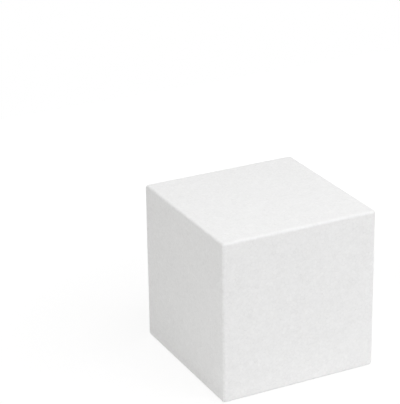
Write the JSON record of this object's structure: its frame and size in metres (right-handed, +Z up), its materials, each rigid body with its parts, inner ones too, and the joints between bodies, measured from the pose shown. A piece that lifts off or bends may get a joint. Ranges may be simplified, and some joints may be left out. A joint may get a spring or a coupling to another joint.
{
  "type": "foam block",
  "caption": "Plain solid cube of white expanded polystyrene bead foam with softly rounded edges, for craft, packing and display.",
  "frame": {"origin": "middle of the underside, on the surface that the block stands on", "axes": "+Z up, -Y out of the front face, +X to the right seen from the front"},
  "size_m": [0.1524, 0.1524, 0.1524],
  "materials": {
    "bead_foam": "bare white bead foam, matte, with fused beads and fine grooves between them"
  },
  "bodies": {
    "root": {"foam_block": "bead_foam"}
  },
  "joints": []
}
